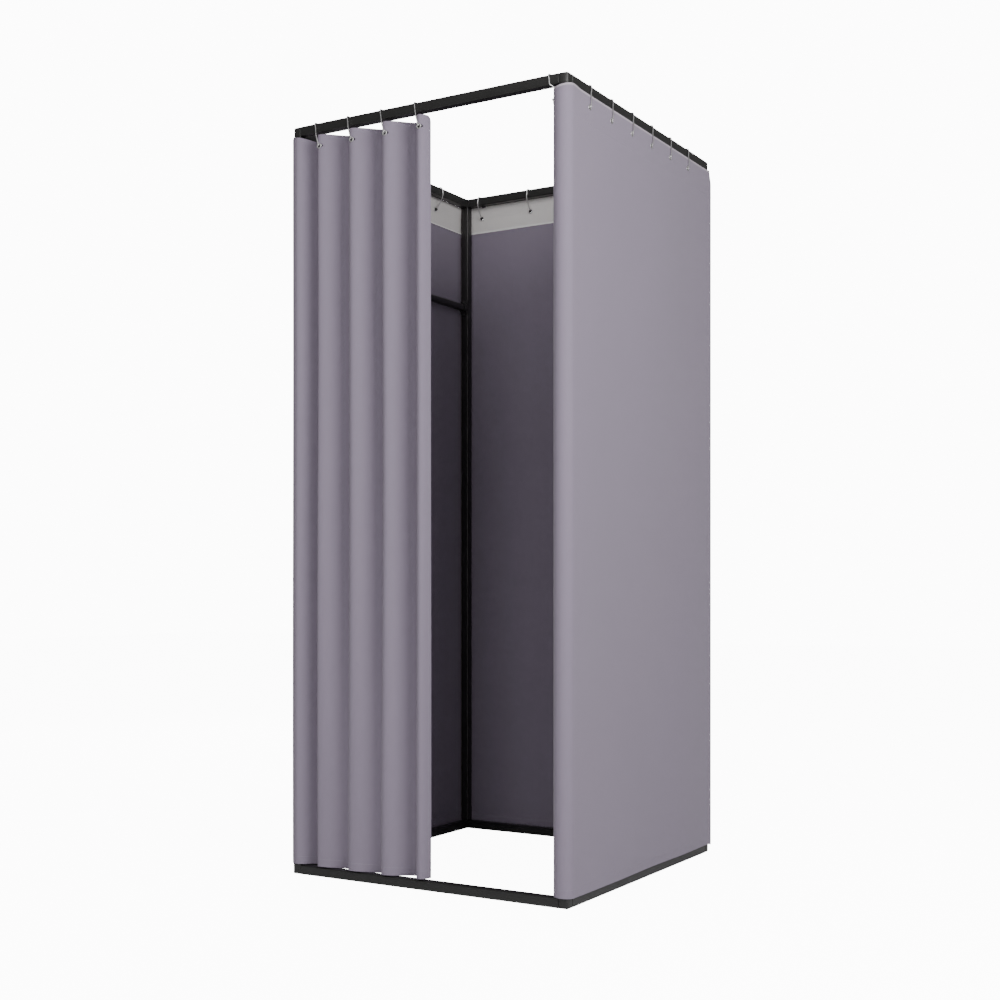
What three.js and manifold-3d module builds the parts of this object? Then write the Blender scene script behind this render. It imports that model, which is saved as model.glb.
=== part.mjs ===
// A free-standing fitting room: a knock-down frame of square steel tube, a clothes rail inside it,
// wall curtains hung on wire rings, and a door curtain that draws along the front rail.
// Millimetres, +Z up. The origin is on the floor under the middle of the frame; -Y is the doorway side.

import * as THREE from 'three';
import { mergeVertices } from 'three/addons/utils/BufferGeometryUtils.js';
import Module from 'manifold-3d';

const wasm = await Module();
wasm.setup();

// Frame
const frameWidth = 835; // along X, over the tubes
const frameDepth = 865; // along Y, over the tubes
const frameHeight = 2000; // floor to the top of the top rails
const tubeSize = 25;
const tubeWall = 1.5;
const tubeEdgeRadius = 3;
const topCornerRadius = 8; // outer upright edge of a top corner fitting
const baseCornerRadius = 4;
const spigotLength = 60; // how far a fitting reaches into each tube
const spigotChamfer = 2;
const fitGap = 0.3; // clearance between pieces that seat on or in each other

// Clothes rail and its sockets
const clothesRailDiameter = 22;
const clothesRailWall = 1.5;
const clothesRailDrop = 345; // top of the frame to its axis
const socketDepth = 14;
const socketWall = 2.5;
const flangeThickness = 3;
const flangeHeight = 46;
const flangeEndRadius = 5;

// Curtain cloth
const clothOffset = 7.5; // from the frame's outer faces to the middle of the cloth
const clothThickness = 1.2;
const frontTopGap = 9.5; // top rail down to the top edge of the door curtain and the return, which curl in
const frontHemGap = 2; // base rail up to their hem
const wallTopLap = 2.5; // how far the walls' top edge stands up outside the top rails
const wallHemLap = 5; // how far their hem hangs down outside the base rails
const headerHeight = 83.5; // the band sewn inside the top of the wall curtains
const headerThickness = 0.8;
const headerSink = 0.2; // how far the band's stitching face lies in the cloth
const rearBend = 10; // bend of the cloth round the two rear corners
const frontBend = 26; // and round the two front corners, where it clears the posts' outer edges
const returnReach = 1; // the return lies flat until it is this far past its post, then curls inward
const returnTurn = 168; // degrees that the return turns in all

// Door curtain folds
const doorRingCount = 4;
const firstRingMargin = 94; // outer face of the left post to the first ring
const foldPitch = 106; // ring to ring, as it is drawn back
const foldDepth = 72; // ridge to valley
const foldSquareShare = 0.45; // 0 is a plain wave, and nearer 1 gives rounder ridges and steeper flanks
const leadReach = 18; // ridge to free edge, along X
const leadCurl = 28; // how far the free edge turns inward
const leadTurn = 60; // degrees of the curl

// Rings and eyelets
const wireDiameter = 2.6;
const ringOuterReach = 10.8; // the loop's widest place outside the rail
const ringInnerReach = 6; // and inside it
const ringRise = 0.4; // how far the top of the loop bows above its seat
const ballDiameter = 9.5; // the clasp that closes a ring inside the cloth, too big for its eyelet
const frontEyeletDrop = 29.5; // the door curtain's top edge to the middle of an eyelet
const wallEyeletDrop = 37.5; // and the walls' top edge to theirs
const eyeletHole = 8;
const eyeletRim = 15;
const eyeletProud = 0.8; // a rim's thickness on each face of the cloth
const ringHang = 1.6; // the wire lies this far above the middle of its eyelet
const doorRingLean = 19; // the top of a door ring lags behind its eyelet
const rightRingLean = 20; // a right ring crosses its rail this far behind its eyelet
const leftRingLean = 10; // and a left one this far ahead of it
const rearRingLean = 5; // and a rear one this far to the right of it
const sideRingCount = 6;
const sideRingMargin = 101; // outer face of the front rail to the first side eyelet
const sideRingRest = 167.5; // last side eyelet to the outer face of the rear rail
const rearRingCount = 5;
const rearRingMargin = 61; // outer face of a side rail to the nearest rear eyelet
const returnRingReach = 24; // right post's inner face to where the return's ring crosses the front rail
const returnEyeletTurn = 146; // degrees round the return's bend to its eyelet

// How finely round things are faceted
const edgeSteps = 2;
const bendSteps = 9;
const foldSteps = 6;
const roundSides = 20;
const eyeletSides = 10;
const wireSides = 5;
const wireSteps = 18;
const ballSides = 6;
const ballRows = 4;

// Sizes that follow from these
const halfWidth = frameWidth / 2;
const halfDepth = frameDepth / 2;
const frontTop = frameHeight - tubeSize - frontTopGap;
const frontHem = tubeSize + frontHemGap;
const wallTop = frameHeight - tubeSize + wallTopLap;
const wallHem = tubeSize - wallHemLap;
const frontEyelet = frontTop - frontEyeletDrop;
const wallEyelet = wallTop - wallEyeletDrop;
const clothX = halfWidth + clothOffset;
const clothY = halfDepth + clothOffset;
const wireRadius = wireDiameter / 2;
const ballRadius = ballDiameter / 2;
const clothesRailHeight = frameHeight - clothesRailDrop;
const returnFlat = Math.max(0, tubeSize + returnReach - frontBend);
const firstRingX = firstRingMargin - halfWidth;
const leadRingX = firstRingX + (doorRingCount - 1) * foldPitch;
const returnRingX = halfWidth - tubeSize - returnRingReach;
const sideRingPitch = (frameDepth - sideRingMargin - sideRingRest) / (sideRingCount - 1);
const rearRingPitch = (frameWidth - 2 * rearRingMargin) / (rearRingCount - 1);
const cornerRidgeX = frontBend - clothX;
const halfPitch = foldPitch / 2;
const firstHalfPitch = (firstRingX - cornerRidgeX) / 2;

const steel = new THREE.MeshStandardMaterial({ color: 0x25221f, roughness: 0.45, metalness: 0.35 });
const fitting = new THREE.MeshStandardMaterial({ color: 0x1d1b1a, roughness: 0.6, metalness: 0.1 });
const cloth = new THREE.MeshStandardMaterial({ color: 0x8f8896, roughness: 0.9, metalness: 0 });
const wire = new THREE.MeshStandardMaterial({ color: 0xd9d9dc, roughness: 0.25, metalness: 1 });

const room = new THREE.Group();

function add(name, geometry, material) {
  const mesh = new THREE.Mesh(geometry, material);
  mesh.name = name;
  room.add(mesh);
  return mesh;
}

// Closed geometry to a solid that can be joined and cut, and back again
function toSolid(geometry) {
  const bare = geometry.clone();
  bare.deleteAttribute('normal');
  bare.deleteAttribute('uv');
  const merged = mergeVertices(bare);
  return new wasm.Manifold(new wasm.Mesh({
    numProp: 3,
    vertProperties: new Float32Array(merged.attributes.position.array),
    triVerts: new Uint32Array(merged.index.array),
  }));
}

function toGeometry(solid) {
  const mesh = solid.getMesh();
  const geometry = new THREE.BufferGeometry();
  geometry.setAttribute('position', new THREE.BufferAttribute(new Float32Array(mesh.vertProperties), 3));
  geometry.setIndex(new THREE.BufferAttribute(new Uint32Array(mesh.triVerts), 1));
  geometry.computeVertexNormals();
  return geometry;
}

function joined(geometries) {
  return geometries.map(toSolid).reduce((whole, next) => whole.add(next));
}

// A shape pulled straight up from one height to another
function raised(shape, low, high) {
  const geometry = new THREE.ExtrudeGeometry(shape, { depth: high - low, bevelEnabled: false });
  return geometry.translate(0, 0, low);
}

// A rectangle round the origin whose four corners have their own radii, from +X+Y turning left
function roundedRectangle(width, height, radii) {
  const shape = new THREE.Shape();
  radii.forEach((radius, k) => {
    const right = k === 0 || k === 3;
    const upper = k < 2;
    const x = (right ? 1 : -1) * (width / 2 - radius);
    const y = (upper ? 1 : -1) * (height / 2 - radius);
    for (let i = 0; i <= edgeSteps; i += 1) {
      const angle = (k + i / edgeSteps) * Math.PI / 2;
      const px = x + radius * Math.cos(angle);
      const py = y + radius * Math.sin(angle);
      if (k + i === 0) shape.moveTo(px, py);
      else shape.lineTo(px, py);
    }
  });
  return shape;
}

// Square tube with rounded edges, lying along Z from 0 to its length
function squareTube(length) {
  const bore = tubeSize - 2 * tubeWall;
  const section = roundedRectangle(tubeSize, tubeSize, Array(4).fill(tubeEdgeRadius));
  section.holes.push(roundedRectangle(bore, bore, Array(4).fill(tubeEdgeRadius - tubeWall)));
  return raised(section, 0, length);
}

// A peg that fills a tube's bore but for the fit, with a chamfered end, along Z
function spigot() {
  const side = tubeSize - 2 * (tubeWall + fitGap);
  const root = tubeSize / 2 - tubeEdgeRadius;
  const tip = tubeSize / 2 + spigotLength;
  const section = roundedRectangle(side, side, Array(4).fill(tubeEdgeRadius - tubeWall));
  const body = raised(section, root, tip - spigotChamfer);
  const narrow = (side - 2 * spigotChamfer) * Math.SQRT1_2;
  const point = new THREE.CylinderGeometry(narrow, side * Math.SQRT1_2 - tubeWall, 2 * spigotChamfer, 4);
  point.rotateY(Math.PI / 4);
  point.rotateX(Math.PI / 2);
  point.translate(0, 0, tip - spigotChamfer);
  return joined([body, point]);
}

// A three-way corner fitting: a block flush with the tubes, and a peg into each of them.
// Its outer upright edge faces +X+Y, and its upright peg points up or down.
function cornerFitting(edgeRadius, upward) {
  const inner = tubeEdgeRadius;
  const half = tubeSize / 2;
  const block = raised(roundedRectangle(tubeSize, tubeSize, [edgeRadius, inner, inner, inner]), -half, half);
  const upright = upward ? spigot() : spigot().rotate([180, 0, 0]);
  const alongX = spigot().rotate([0, -90, 0]);
  const alongY = spigot().rotate([90, 0, 0]);
  return toGeometry(toSolid(block).add(upright).add(alongX).add(alongY));
}

function addFrame() {
  const seat = tubeSize + fitGap;
  const centreX = halfWidth - tubeSize / 2;
  const centreY = halfDepth - tubeSize / 2;
  const corners = [
    ['rear_right', 1, 1, 0],
    ['rear_left', -1, 1, Math.PI / 2],
    ['front_left', -1, -1, Math.PI],
    ['front_right', 1, -1, -Math.PI / 2],
  ];
  for (const [place, sx, sy, turn] of corners) {
    const base = add(`base_corner_${place}`, cornerFitting(baseCornerRadius, true), fitting);
    const top = add(`top_corner_${place}`, cornerFitting(topCornerRadius, false), fitting);
    base.position.set(sx * centreX, sy * centreY, tubeSize / 2);
    top.position.set(sx * centreX, sy * centreY, frameHeight - tubeSize / 2);
    base.rotation.z = turn;
    top.rotation.z = turn;
    const post = add(`post_${place}`, squareTube(frameHeight - 2 * seat), steel);
    post.position.set(sx * centreX, sy * centreY, seat);
  }
  for (const [level, z] of [['base', tubeSize / 2], ['top', frameHeight - tubeSize / 2]]) {
    for (const [side, sign] of [['front', -1], ['rear', 1]]) {
      const rail = add(`${level}_rail_${side}`, squareTube(frameWidth - 2 * seat), steel);
      rail.rotation.y = Math.PI / 2;
      rail.position.set(seat - halfWidth, sign * centreY, z);
    }
    for (const [side, sign] of [['left', -1], ['right', 1]]) {
      const rail = add(`${level}_rail_${side}`, squareTube(frameDepth - 2 * seat), steel);
      rail.rotation.x = -Math.PI / 2;
      rail.position.set(sign * centreX, seat - halfDepth, z);
    }
  }
}

// A ring of rectangular section round Z
function sleeve(innerRadius, outerRadius, length) {
  const profile = [
    new THREE.Vector2(innerRadius, 0),
    new THREE.Vector2(outerRadius, 0),
    new THREE.Vector2(outerRadius, length),
    new THREE.Vector2(innerRadius, length),
    new THREE.Vector2(innerRadius, 0),
  ];
  const geometry = new THREE.LatheGeometry(profile, roundSides);
  return geometry.rotateX(Math.PI / 2);
}

// The clothes rail runs between the two left posts, with each end in a flanged socket
function addClothesRail() {
  const x = tubeSize / 2 - halfWidth;
  const postFace = halfDepth - tubeSize;
  const flangeOut = postFace - fitGap;
  const railEnd = flangeOut - flangeThickness - fitGap;
  const radius = clothesRailDiameter / 2;
  const rail = add('clothes_rail', sleeve(radius - clothesRailWall, radius, 2 * railEnd), steel);
  rail.rotation.x = -Math.PI / 2;
  rail.position.set(x, -railEnd, clothesRailHeight);
  for (const [place, turn, y] of [['rear', Math.PI / 2, flangeOut], ['front', -Math.PI / 2, -flangeOut]]) {
    const outline = roundedRectangle(tubeSize, flangeHeight, Array(4).fill(flangeEndRadius));
    const flange = raised(outline, 0, flangeThickness);
    const cup = sleeve(radius + fitGap, radius + fitGap + socketWall, socketDepth);
    const socket = add(`clothes_rail_socket_${place}`, toGeometry(joined([flange, cup])), fitting);
    socket.rotation.x = turn;
    socket.position.set(x, y, clothesRailHeight);
  }
}

// Plan points of the cloth's middle, each with the half thickness as an offset (ox, oy)
function straight(x0, y0, x1, y1) {
  const length = Math.hypot(x1 - x0, y1 - y0);
  const ox = -(y1 - y0) / length * clothThickness / 2;
  const oy = (x1 - x0) / length * clothThickness / 2;
  return [{ x: x0, y: y0, ox, oy }, { x: x1, y: y1, ox, oy }];
}

// A bend about a centre, from one angle to another, in degrees
function bend(cx, cy, radius, from, to) {
  const points = [];
  const side = Math.sign(to - from);
  for (let i = 0; i <= bendSteps; i += 1) {
    const angle = (from + (to - from) * i / bendSteps) * Math.PI / 180;
    const nx = Math.cos(angle);
    const ny = Math.sin(angle);
    const half = side * clothThickness / 2;
    points.push({ x: cx + radius * nx, y: cy + radius * ny, ox: -half * nx, oy: -half * ny });
  }
  return points;
}

// Door folds: turn 0 is a ridge and turn 1 the next valley. The wave is squared off, and its thickness is
// laid off along Y, so that each piece ends on a plane across X and its neighbours can slide away from it.
function fold(ridgeX, half, from, to) {
  const points = [];
  for (let i = 0; i <= foldSteps; i += 1) {
    const t = from + (to - from) * i / foldSteps;
    const squareness = foldSquareShare * Math.cos(2 * Math.PI * t);
    const x = ridgeX + half * (t + foldSquareShare * Math.sin(2 * Math.PI * t) / (2 * Math.PI));
    const y = -clothY + foldDepth * (1 - Math.cos(Math.PI * t)) / 2;
    const slope = foldDepth * Math.PI / 2 * Math.sin(Math.PI * t) / (half * (1 + squareness));
    points.push({ x, y, ox: 0, oy: clothThickness / 2 * Math.hypot(1, slope) });
  }
  return points;
}

// The free edge curls inward on an ellipse after the last ridge
function leadEdge() {
  const points = [];
  const last = leadTurn * Math.PI / 180;
  const reach = leadReach / Math.sin(last);
  const curl = leadCurl / (1 - Math.cos(last));
  for (let i = 1; i <= foldSteps; i += 1) {
    const angle = last * i / foldSteps;
    const tx = reach * Math.cos(angle);
    const ty = curl * Math.sin(angle);
    const half = clothThickness / 2 / Math.hypot(tx, ty);
    points.push({
      x: leadRingX + reach * Math.sin(angle),
      y: curl * (1 - Math.cos(angle)) - clothY,
      ox: -ty * half,
      oy: tx * half,
    });
  }
  return points;
}

// Cloth standing on a plan line, from one height to another, between two shares of its own thickness
function clothSolid(points, low, high, from = -1, to = 1) {
  const there = points.map((p) => new THREE.Vector2(p.x + from * p.ox, p.y + from * p.oy));
  const back = points.map((p) => new THREE.Vector2(p.x + to * p.ox, p.y + to * p.oy)).reverse();
  return raised(new THREE.Shape([...there, ...back]), low, high);
}

// The light band inside the top of a wall. inward is +1 where the cabin lies to the left of the line.
function headerBand(points, inward) {
  const half = clothThickness / 2;
  const near = inward * (half - headerSink) / half;
  const far = inward * (half + headerThickness) / half;
  return clothSolid(points, wallTop - headerHeight, wallTop, Math.min(near, far), Math.max(near, far));
}

// A round bar along the cloth's normal at an eyelet, from inside the cloth's middle to outside it
function eyeletBar(eyelet, diameter, inside, outside) {
  const bar = new THREE.CylinderGeometry(diameter / 2, diameter / 2, inside + outside, eyeletSides);
  bar.translate(0, (outside - inside) / 2, 0);
  bar.rotateZ(-Math.PI / 2);
  bar.rotateZ(Math.atan2(eyelet.ny, eyelet.nx));
  bar.translate(eyelet.x, eyelet.y, eyelet.z);
  return toSolid(bar);
}

// Metal rims pressed into the cloth, then the holes through them
function withEyelets(solid, eyelets) {
  let whole = solid;
  const outside = clothThickness / 2 + eyeletProud;
  const inside = outside + headerThickness;
  for (const eyelet of eyelets) whole = whole.add(eyeletBar(eyelet, eyeletRim, inside, outside));
  for (const eyelet of eyelets) {
    whole = whole.subtract(eyeletBar(eyelet, eyeletHole, 2 * inside, 2 * inside));
  }
  return toGeometry(whole);
}

// Eyelets of the three walls and of the return: a place, the outward normal, and where the ring crosses
// the rail (top) with the rail's outer face (nx, ny).
function sideEyelets(sign) {
  return Array.from({ length: sideRingCount }, (_, k) => {
    const y = sideRingMargin - halfDepth + k * sideRingPitch;
    return { x: sign * clothX, y, z: wallEyelet, nx: sign, ny: 0 };
  });
}

function rearEyelets() {
  return Array.from({ length: rearRingCount }, (_, k) => {
    const x = (k - (rearRingCount - 1) / 2) * rearRingPitch;
    return { x, y: clothY, z: wallEyelet, nx: 0, ny: 1 };
  });
}

function returnEyelet() {
  const angle = -returnEyeletTurn * Math.PI / 180;
  const nx = Math.cos(angle);
  const ny = Math.sin(angle);
  const x = clothX - frontBend - returnFlat + frontBend * nx;
  return { x, y: frontBend - clothY + frontBend * ny, z: frontEyelet, nx, ny };
}

function doorEyelet(k) {
  return { x: firstRingX + k * foldPitch, y: -clothY, z: frontEyelet, nx: 0, ny: -1 };
}

// A wire ring: it starts in its clasp ball inside the cloth, goes out through the eyelet, up past the
// cloth's top edge, over the rail and down inside to the ball. (railX, railY) is the rail's outward normal.
function ring(eyelet, edge, railX, railY, slip) {
  const alongX = -railY;
  const alongY = railX;
  const face = railX === 0 ? halfDepth : halfWidth;
  const sideways = eyelet.x * alongX + eyelet.y * alongY;
  const wireHeight = eyelet.z + ringHang;
  const seatHeight = frameHeight + fitGap + wireRadius;
  const rise = seatHeight - wireHeight;
  // out is measured from the rail's outer face
  const at = (out, z) => {
    const lag = sideways - slip * Math.max(0, z - wireHeight) / rise;
    return new THREE.Vector3((face + out) * railX + lag * alongX, (face + out) * railY + lag * alongY, z);
  };
  const near = (out, z) => new THREE.Vector3(eyelet.x + out * eyelet.nx, eyelet.y + out * eyelet.ny, z);
  const clear = tubeEdgeRadius + wireRadius;
  const beside = clothOffset + clothThickness / 2 + wireRadius + 2 * fitGap;
  const sink = Math.sqrt((ballRadius + 2 * fitGap) ** 2 - (eyeletHole / 2) ** 2);
  const inside = clothThickness / 2 + headerThickness + eyeletProud + sink;
  const clasp = near(-inside, eyelet.z);
  const points = [
    clasp,
    near(0, wireHeight),
    near(inside / 2, wireHeight + fitGap),
    at(ringOuterReach, wireHeight + 2 * wireDiameter),
    at((ringOuterReach + beside) / 2, (edge + wireHeight) / 2),
    at(beside, edge),
    at(clear, frameHeight - tubeEdgeRadius),
    at(0, seatHeight),
    at(-tubeSize / 2, seatHeight + ringRise),
    at(-tubeSize, seatHeight),
    at(-tubeSize - clear, frameHeight - tubeEdgeRadius),
    at(-tubeSize - ringInnerReach, frameHeight - tubeSize),
    at(-tubeSize * 3 / 4, (frontTop + wireHeight) / 2),
    near(-inside - ballRadius / 2, eyelet.z + ballRadius / 2),
  ];
  const section = new THREE.Shape(Array.from({ length: wireSides }, (_, i) => {
    const angle = 2 * Math.PI * i / wireSides;
    return new THREE.Vector2(wireRadius * Math.cos(angle), wireRadius * Math.sin(angle));
  }));
  const path = new THREE.CatmullRomCurve3(points, false, 'centripetal');
  const sweep = { steps: wireSteps, extrudePath: path, bevelEnabled: false };
  const loop = new THREE.ExtrudeGeometry(section, sweep);
  const ball = new THREE.SphereGeometry(ballRadius, ballSides, ballRows);
  ball.translate(clasp.x, clasp.y, clasp.z);
  return toGeometry(joined([loop, ball]));
}

function addWallCurtains() {
  const seam = fitGap / 2;
  const rightWall = straight(clothX, frontBend - clothY + seam, clothX, clothY - rearBend - seam);
  const leftWall = straight(-clothX, frontBend - clothY + seam, -clothX, clothY - rearBend - seam);
  const rearX = clothX - rearBend;
  const rearY = clothY - rearBend;
  const rearWall = [
    ...bend(rearX, rearY, rearBend, 0, 90),
    ...bend(-rearX, rearY, rearBend, 90, 180),
  ];
  const walls = [
    ['right', rightWall, 1, sideEyelets(1), -rightRingLean],
    ['left', leftWall, -1, sideEyelets(-1), -leftRingLean],
    ['rear', rearWall, 1, rearEyelets(), rearRingLean],
  ];
  for (const [place, line, inward, eyelets, slip] of walls) {
    const sewn = joined([clothSolid(line, wallHem, wallTop), headerBand(line, inward)]);
    add(`wall_curtain_${place}`, withEyelets(sewn, eyelets), cloth);
    eyelets.forEach((eyelet, k) => {
      add(`ring_${place}_${k + 1}`, ring(eyelet, wallTop, eyelet.nx, eyelet.ny, slip), wire);
    });
  }
  const flap = [
    ...bend(clothX - frontBend, frontBend - clothY, frontBend, 0, -90),
    ...bend(clothX - frontBend - returnFlat, frontBend - clothY, frontBend, -90, -returnTurn).slice(1),
  ];
  const hook = returnEyelet();
  add('wall_curtain_return', withEyelets(toSolid(clothSolid(flap, frontHem, frontTop)), [hook]), cloth);
  add('ring_return', ring(hook, frontTop, 0, -1, hook.x - returnRingX), wire);
}

function addDoorCurtain() {
  const trimOf = (half) => fitGap / 2 / (half * (1 - foldSquareShare));
  const firstTrim = trimOf(firstHalfPitch);
  const trim = trimOf(halfPitch);
  const corner = bend(cornerRidgeX, frontBend - clothY, frontBend, 180, 270).slice(0, -1);
  const firstFlank = fold(cornerRidgeX, firstHalfPitch, 0, 1 / 2 - firstTrim);
  add('door_curtain_corner', clothSolid([...corner, ...firstFlank], frontHem, frontTop), cloth);
  for (let k = 0; k < doorRingCount; k += 1) {
    const eyelet = doorEyelet(k);
    const first = k === 0;
    const half = first ? firstHalfPitch : halfPitch;
    const cut = first ? firstTrim : trim;
    const before = eyelet.x - 2 * half;
    const valley = [
      ...fold(before, half, 1 / 2 + cut, 1),
      ...fold(before, half, 1, 3 / 2 - cut).slice(1),
    ];
    add(`door_curtain_valley_${k + 1}`, clothSolid(valley, frontHem, frontTop), cloth);
    const last = k === doorRingCount - 1;
    const after = last ? leadEdge() : fold(eyelet.x, halfPitch, 0, 1 / 2 - trim).slice(1);
    const ridge = clothSolid([...fold(eyelet.x, half, cut - 1 / 2, 0), ...after], frontHem, frontTop);
    add(`door_curtain_ridge_${k + 1}`, withEyelets(toSolid(ridge), [eyelet]), cloth);
    add(`ring_door_${k + 1}`, ring(eyelet, frontTop, 0, -1, doorRingLean), wire);
  }
}

addFrame();
addClothesRail();
addWallCurtains();
addDoorCurtain();

export default room;
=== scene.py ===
# Portable fitting room: the finished look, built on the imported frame.
# Metres, +Z up. The doorway faces -Y and the door curtain draws towards +X.

from math import acos, atan2, ceil, cos, pi, radians, sin, sqrt

import bpy
import numpy as np
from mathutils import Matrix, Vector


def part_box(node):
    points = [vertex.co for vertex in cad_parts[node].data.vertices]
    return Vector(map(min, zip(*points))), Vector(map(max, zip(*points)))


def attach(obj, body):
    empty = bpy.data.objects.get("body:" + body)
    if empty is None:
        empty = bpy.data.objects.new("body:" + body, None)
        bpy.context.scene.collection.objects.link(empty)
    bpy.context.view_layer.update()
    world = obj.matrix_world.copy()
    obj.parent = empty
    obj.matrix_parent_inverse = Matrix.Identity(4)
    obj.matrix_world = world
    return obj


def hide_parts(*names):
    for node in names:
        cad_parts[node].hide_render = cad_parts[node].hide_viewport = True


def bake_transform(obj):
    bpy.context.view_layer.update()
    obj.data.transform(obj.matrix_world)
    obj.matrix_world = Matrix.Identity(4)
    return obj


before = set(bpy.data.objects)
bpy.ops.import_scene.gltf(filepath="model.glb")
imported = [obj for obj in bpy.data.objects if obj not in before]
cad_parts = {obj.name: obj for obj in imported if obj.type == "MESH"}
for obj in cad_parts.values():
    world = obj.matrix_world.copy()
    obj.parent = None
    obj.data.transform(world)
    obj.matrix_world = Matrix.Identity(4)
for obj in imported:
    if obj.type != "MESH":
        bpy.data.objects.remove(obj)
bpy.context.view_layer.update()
print("frame loaded,", len(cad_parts), "nodes")


def addObject(name, data):
    thing = bpy.data.objects.new(name, data)
    bpy.context.scene.collection.objects.link(thing)
    return thing


# camera, fitted to the outline of the frame in the photograph and turned from looking along +Y
cameraData = bpy.data.cameras.new("camera")
cameraData.lens, cameraData.sensor_width, cameraData.shift_y = 51.24, 36, 0.0838
camera = addObject("camera", cameraData)
camera.location, camera.rotation_euler = (2.0203, -3.4257, 0.7773), (radians(90), 0, radians(30.889))
bpy.context.scene.camera = camera

# sizes that every piece shares
postLow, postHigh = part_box("post_rear_right")
tubeSize = postHigh.x - postLow.x
halfWidth, halfDepth = postHigh.x, postHigh.y
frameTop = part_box("top_rail_front")[1].z
railUnder = frameTop - tubeSize
wallHem, wallTop = (corner.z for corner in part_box("wall_curtain_rear"))
doorHem, doorTop = (corner.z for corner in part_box("door_curtain_corner"))  # and those of the return
gap = 0.0003

cloth = dict(
    thickness=0.0009,
    offset=0.0075,  # frame's outer faces to the middle of the cloth
    rearBend=0.010, returnBend=0.026,
    returnTurn=168,  # degrees
    leftBend=0.026,
    lap=0.014,  # the door curtain's edge laps this far over the wall cloth
    foldedEdge=0.0006,  # what a turned hem adds on the inside
    topHem=0.009, bottomHem=0.022,
    hemStep=0.0006,  # half the width of the step at a turned hem
    edgeHighlight=(0.0056, 0.0050),  # below the top, where the painted highlight of the turned edge comes in
)
halfCloth = cloth["thickness"] / 2
rearBend, returnBend, leftBend = cloth["rearBend"], cloth["returnBend"], cloth["leftBend"]
clothX = halfWidth + cloth["offset"]
clothY = halfDepth + cloth["offset"]

eyelet = dict(
    wallDrop=0.0375,  # cloth's top edge to the middle of the hole
    doorDrop=0.0295, hole=0.0040, barrel=0.0046, rim=0.0075, proud=0.0008,
    tuck=0.0001,  # of the rims' inner edges into the cloth
    clothHole=0.0050,
    clear=1.3,  # even rows keep this share of the hole's radius off its middle
    lining=0.0022,  # what the heading band adds between the rims
)
wallEyelet = wallTop - eyelet["wallDrop"]
doorEyelet = doorTop - eyelet["doorDrop"]


# mesh making
def gridFaces(rows, columns, around=False, closed=False):
    # quads of a grid kept row by row; around joins its last column to its first, closed its rows
    i, j = (a.ravel() for a in np.mgrid[: rows - 1 + closed, : columns - 1 + around])
    up, right = (i + 1) % rows, (j + 1) % columns
    return np.stack([i * columns + j, i * columns + right, up * columns + right, up * columns + j], -1)


def cappedShell(grid):
    # a closed skin over a stack of rings, with a fan in each end ring
    rows, columns = grid.shape[:2]
    points = np.vstack([grid.reshape(-1, 3), grid[0].mean(0), grid[-1].mean(0)])
    end, faces = (rows - 1) * columns, gridFaces(rows, columns, around=True).tolist()
    pairs = [(j, (j + 1) % columns) for j in range(columns)]
    faces += [[after, j, rows * columns] for j, after in pairs]
    faces += [[end + j, end + after, rows * columns + 1] for j, after in pairs]
    return points, faces


def loopShell(grid):
    # a closed skin over a grid that closes both ways, such as a tube with its bore
    rows, columns = grid.shape[:2]
    return grid.reshape(-1, 3), gridFaces(rows, columns, around=True, closed=True).tolist()


def facesOutward(points, faces):
    # the sum of a . (b x c) over the triangles is negative when the shell is inside out
    corners = np.array([face[:3] for face in faces] + [[f[0], f[2], f[3]] for f in faces if len(f) == 4])
    a, b, c = (points[corners[:, k]] for k in range(3))
    volume = np.einsum("ij,ij->i", a, np.cross(b, c)).sum()
    return faces if volume > 0 else [face[::-1] for face in faces]


def makePiece(name, shells, material, body, sharp, uv=None, turn=1, at=0, nodes=()):
    # (points, faces) pairs, placed and joined in one mesh, with a uv pair for each point
    points, faces, start = [], [], 0
    for shellPoints, shellFaces in shells:
        shellPoints = at + shellPoints * turn
        turned = facesOutward(shellPoints, shellFaces)
        faces += [[start + corner for corner in face] for face in turned]
        points.append(shellPoints)
        start += len(shellPoints)
    mesh = bpy.data.meshes.new(name)
    mesh.from_pydata(np.vstack(points).tolist(), [], faces)
    mesh.shade_smooth()
    mesh.set_sharp_from_angle(angle=radians(sharp))
    if uv is not None:
        corner = np.zeros(len(mesh.loops), np.int32)
        mesh.loops.foreach_get("vertex_index", corner)
        layer = mesh.uv_layers.new(name="clothUv")
        layer.data.foreach_set("uv", uv[corner].astype(np.float32).ravel())
    mesh.materials.append(material)
    piece = addObject(name, mesh)
    if body:
        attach(piece, body)
    if nodes:
        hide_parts(*nodes)
    return piece


def wholeTurn(count):
    # angles of one turn, in a row
    return np.linspace(0, 2 * pi, count, endpoint=False)[None, :]


def ease(value, low, high):
    # 0 below low and 1 above high, easing in between as t * t * (3 - 2 t)
    t = np.clip((value - low) / (high - low), 0, 1)
    return t * t * (3 - 2 * t)


def roundBox(width, height, radii, perBend=6, inset=0.0):
    # a rectangle whose corners are quarter circles, from the +X+Y corner turning left
    signs = np.array([[1, 1], [-1, 1], [-1, -1], [1, -1]])
    angles = (np.arange(4)[:, None] + np.linspace(0, 1, perBend)) * pi / 2
    radii = np.maximum(np.asarray(radii) - inset, 0.0002)[:, None]
    half = np.array([width / 2, height / 2]) - inset
    x = signs[:, :1] * (half[0] - radii) + radii * np.cos(angles)
    y = signs[:, 1:] * (half[1] - radii) + radii * np.sin(angles)
    return np.stack([x.ravel(), y.ravel()], -1)


def unit(rows):
    return rows / np.linalg.norm(rows, axis=1, keepdims=True)


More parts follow.
